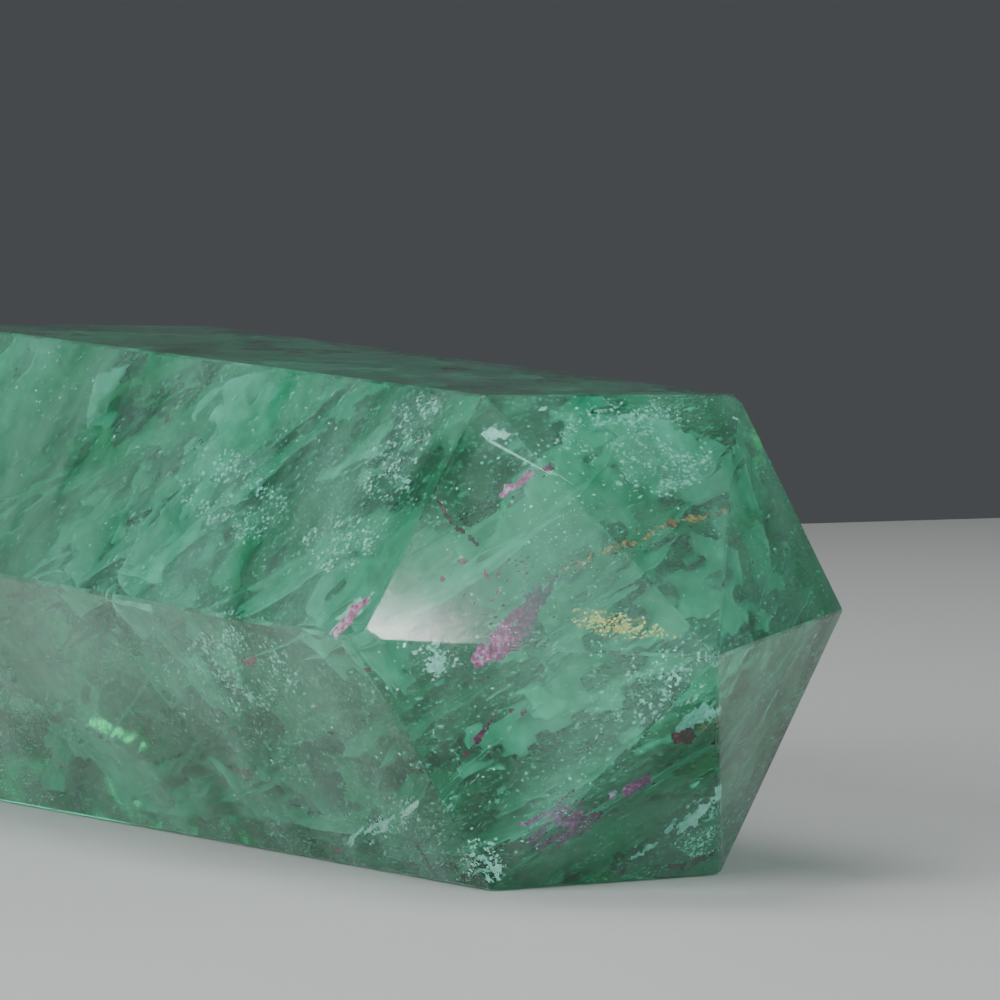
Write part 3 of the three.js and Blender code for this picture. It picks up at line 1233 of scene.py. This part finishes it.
PURPLE_GRAINS = Crumbs("purple_grains", PURPLE_FLUORITE, 16, 0.13, seed=23, stretch=2.2, clump_mm=1.2,
                       clump_start=0.52, tone=(0.3, 1.0), patches=(
    # Round the broad band and its flecks
    streak((440, 672, 30), (480, 664, 50), (515, 632, 56), (548, 596, 40), (560, 574, 14),
           depth_mm=1.5, dip_mm=1.0),
    ring(500, 582, 80, 44, 30, depth_mm=1.2),
    # Round the band near the top and the three low ones
    streak((495, 505, 10), (530, 478, 18), (556, 464, 10), depth_mm=1.2),
    streak((515, 828, 12), (555, 818, 22), (590, 800, 12), depth_mm=3.6),
    streak((530, 856, 12), (575, 832, 26), (608, 810, 14), depth_mm=3.2),
    streak((606, 800, 20), (652, 776, 20), depth_mm=2.8),
    # On the bottom edge
    ring(520, 882, 40, 12, 5, depth_mm=0.6),
))
# Fine grains of painted gold reflection on the same cleavage crack, coloured as the warm light that it
# mirrors
PAINTED_GOLD_REFLECTION_GRAINS = Crumbs("painted_gold_reflection_grains", PAINTED_GOLD_REFLECTION_FINISH, 60, 0.11, seed=29, flatness=0.3, clump_mm=1.0,
                     clump_start=0.4, tilt=0.15, off_sheet_mm=0.05, tone=(0.5, 1.0), patches=(
    streak((574, 616, 14), (600, 621, 24), (630, 628, 20), (676, 636, 6), depth_mm=0.4),
))
RUST_GRAINS = Crumbs("rust_grains", RUST_STAIN, 26, 0.12, seed=25, stretch=1.5, clump_mm=1.3,
                     off_sheet_mm=0.3, tone=(0.1, 0.9), patches=(
    # Along the long vein, the pale vein, and beside the dark crumbs
    streak((555, 575, 18), (600, 556, 26), (640, 540, 22), (690, 520, 20), (745, 503, 12), depth_mm=1.9),
    streak((672, 748, 10), (735, 706, 14), (778, 664, 26), depth_mm=1.1),
    ring(762, 540, 50, 60, -40, depth_mm=2.0),
    ring(700, 738, 60, 26, 5, depth_mm=1.0),
))
FINE_VEILS = Crumbs("fine_fluid_veils", MILK_FLUORITE, 5.5, 0.12, seed=31, stretch=1.5, clump_mm=7.0,
                    tilt=0.35, off_sheet_mm=0.5, tone=(0.2, 0.8), planes=9)
STEEP_VEILS = Crumbs("steep_fluid_veils", MILK_FLUORITE, 6.0, 0.11, seed=33, stretch=1.4, clump_mm=6.0,
                     clump_start=0.51, tilt=0.35, off_sheet_mm=0.5, tone=(0.2, 0.8), planes=8,
                     plane=STEEP_PLANE)
GRAINS = (FEATHERS, STEEP_FEATHERS, PAINTED_GLINTS, WHITE_CRUMBS, PURPLE_GRAINS, PAINTED_GOLD_REFLECTION_GRAINS, RUST_GRAINS,
          FINE_VEILS, STEEP_VEILS)


@dataclass(frozen=True)
class Softbox:
    """A round soft lamp that looks at a point of the stone."""

    name: str
    watts: float
    way: Point
    target: Point = (0.0, 0.0, 0.02)
    distance_m: float = 0.7
    width_m: float = 0.6

    def build(self) -> bpy.types.Object:
        """Makes the lamp.

        Returns:
            The lamp.
        """
        data = bpy.data.lights.new(self.name, "AREA")
        data.shape = "DISK"
        data.size = self.width_m
        data.energy = self.watts
        lamp = put_in_scene(self.name, data)
        back = Vector(self.way).normalized()
        turn = back.to_track_quat("Z", "Y").to_matrix().to_4x4()
        lamp.matrix_world = Matrix.Translation(Vector(self.target) + back * self.distance_m) @ turn
        return lamp


@dataclass
class Studio:
    """A plain pale floor, a soft grey room and soft lamps."""

    floor_colour: str = "a6a9a8"
    floor_roughness: float = 0.5
    floor_middle: Point = (0.1, -0.1, -0.0101)
    floor_size: Point = (1.1, 1.1, 0.02)
    room_colour: str = "83888b"
    room_strength: float = 0.3
    # The glare lamp is small and stands where the upper near facet mirrors it, next to the near corner.
    # The others stand clear of what the faces and edges mirror to the camera.
    lamps: tuple[Softbox, ...] = (
        Softbox("glare_softbox", 0.12, (0.5075, -0.6622, 0.5525), (0.037, -0.0199, 0.0195), 0.6, 0.02),
        Softbox("back_softbox", 2.8, (0.3, 0.95, 0.15), width_m=0.4),
        Softbox("key_softbox", 4.2, (-0.35, -0.25, 0.9)),
        Softbox("side_softbox", 10.5, (0.2, -0.93, 0.28)),
        Softbox("front_softbox", 6.5, (0.95, 0.0, 0.25), target=(0.03, 0.0, 0.02)),
    )

    def build(self) -> None:
        """Builds the floor, the room light and the lamps."""
        mesh = bpy.data.meshes.new("floor")
        work = bmesh.new()
        slab = Matrix.Translation(self.floor_middle) @ Matrix.Diagonal((*self.floor_size, 1.0))
        bmesh.ops.create_cube(work, size=1.0, matrix=slab)
        work.to_mesh(mesh)
        work.free()
        floor = put_in_scene("floor", mesh)
        # A matt painted board: it gives a soft pale ground with no clear reflection.
        material, tree, output = new_material("matt_pale_floor")
        shader = add_node(tree, "ShaderNodeBsdfPrincipled", {
            "Base Color": linear(self.floor_colour), "Roughness": self.floor_roughness})
        tree.links.new(shader.outputs["BSDF"], output.inputs["Surface"])
        mesh.materials.append(material)
        world = bpy.data.worlds.new("soft_room")
        world.use_nodes = True
        world.node_tree.nodes.clear()
        room = add_node(world.node_tree, "ShaderNodeBackground", {
            "Color": linear(self.room_colour), "Strength": self.room_strength})
        add_node(world.node_tree, "ShaderNodeOutputWorld", {"Surface": room.outputs["Background"]})
        bpy.context.scene.world = world
        for lamp in self.lamps:
            lamp.build()


def log_piece(piece: bpy.types.Object) -> None:
    """Reports a finished piece and how many faces it has."""
    LOG.info("%s: %d faces", piece.name, len(piece.data.polygons))


def main() -> None:
    """Builds the stone, what lies in it, and the studio."""
    logging.basicConfig(level=logging.INFO, format="%(name)s: %(message)s")
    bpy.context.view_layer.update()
    view = PhotographView()
    view.build()
    gauge = SightGauge(view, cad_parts[STONE_NODE])
    log_piece(PolishedStone().build())
    for films in MARKINGS + MILKS:
        log_piece(films.build(gauge))
    tree = CrumbTree()
    for grains in GRAINS:
        log_piece(grains.build(gauge, tree))
    Studio().build()


if __name__ == "__main__":
    main()
